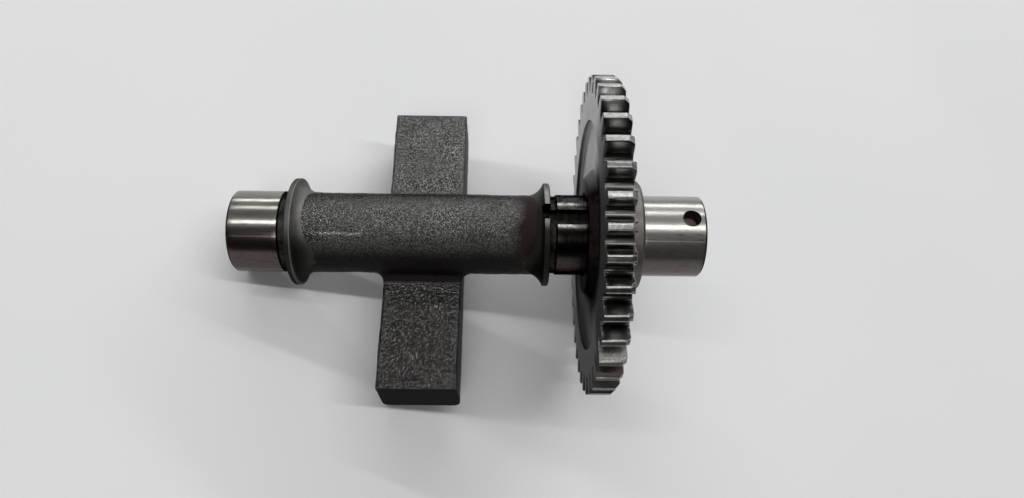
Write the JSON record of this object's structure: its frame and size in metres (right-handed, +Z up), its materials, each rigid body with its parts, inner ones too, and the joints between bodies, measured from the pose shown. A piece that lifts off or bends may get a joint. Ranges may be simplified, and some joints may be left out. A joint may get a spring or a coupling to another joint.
{
  "type": "balance shaft",
  "caption": "Cast engine balance shaft with a counterweight bar across it, ground journals at both ends and a keyed spur gear, lying as it comes to rest.",
  "frame": {"origin": "on the floor under the middle of the shaft, at the bottom centre of the part's box", "axes": "+X along the shaft towards the gear as seen from above, +Y across it along the counterweight bar, +Z up from the floor"},
  "size_m": [0.1144, 0.0786, 0.076],
  "materials": {
    "cast_iron": "rough cast with ground journals",
    "gear_steel": "machined",
    "key_steel": "drawn"
  },
  "bodies": {
    "root": {"balance_shaft": "cast_iron", "drive_gear": "gear_steel", "gear_key": "key_steel"}
  },
  "joints": []
}
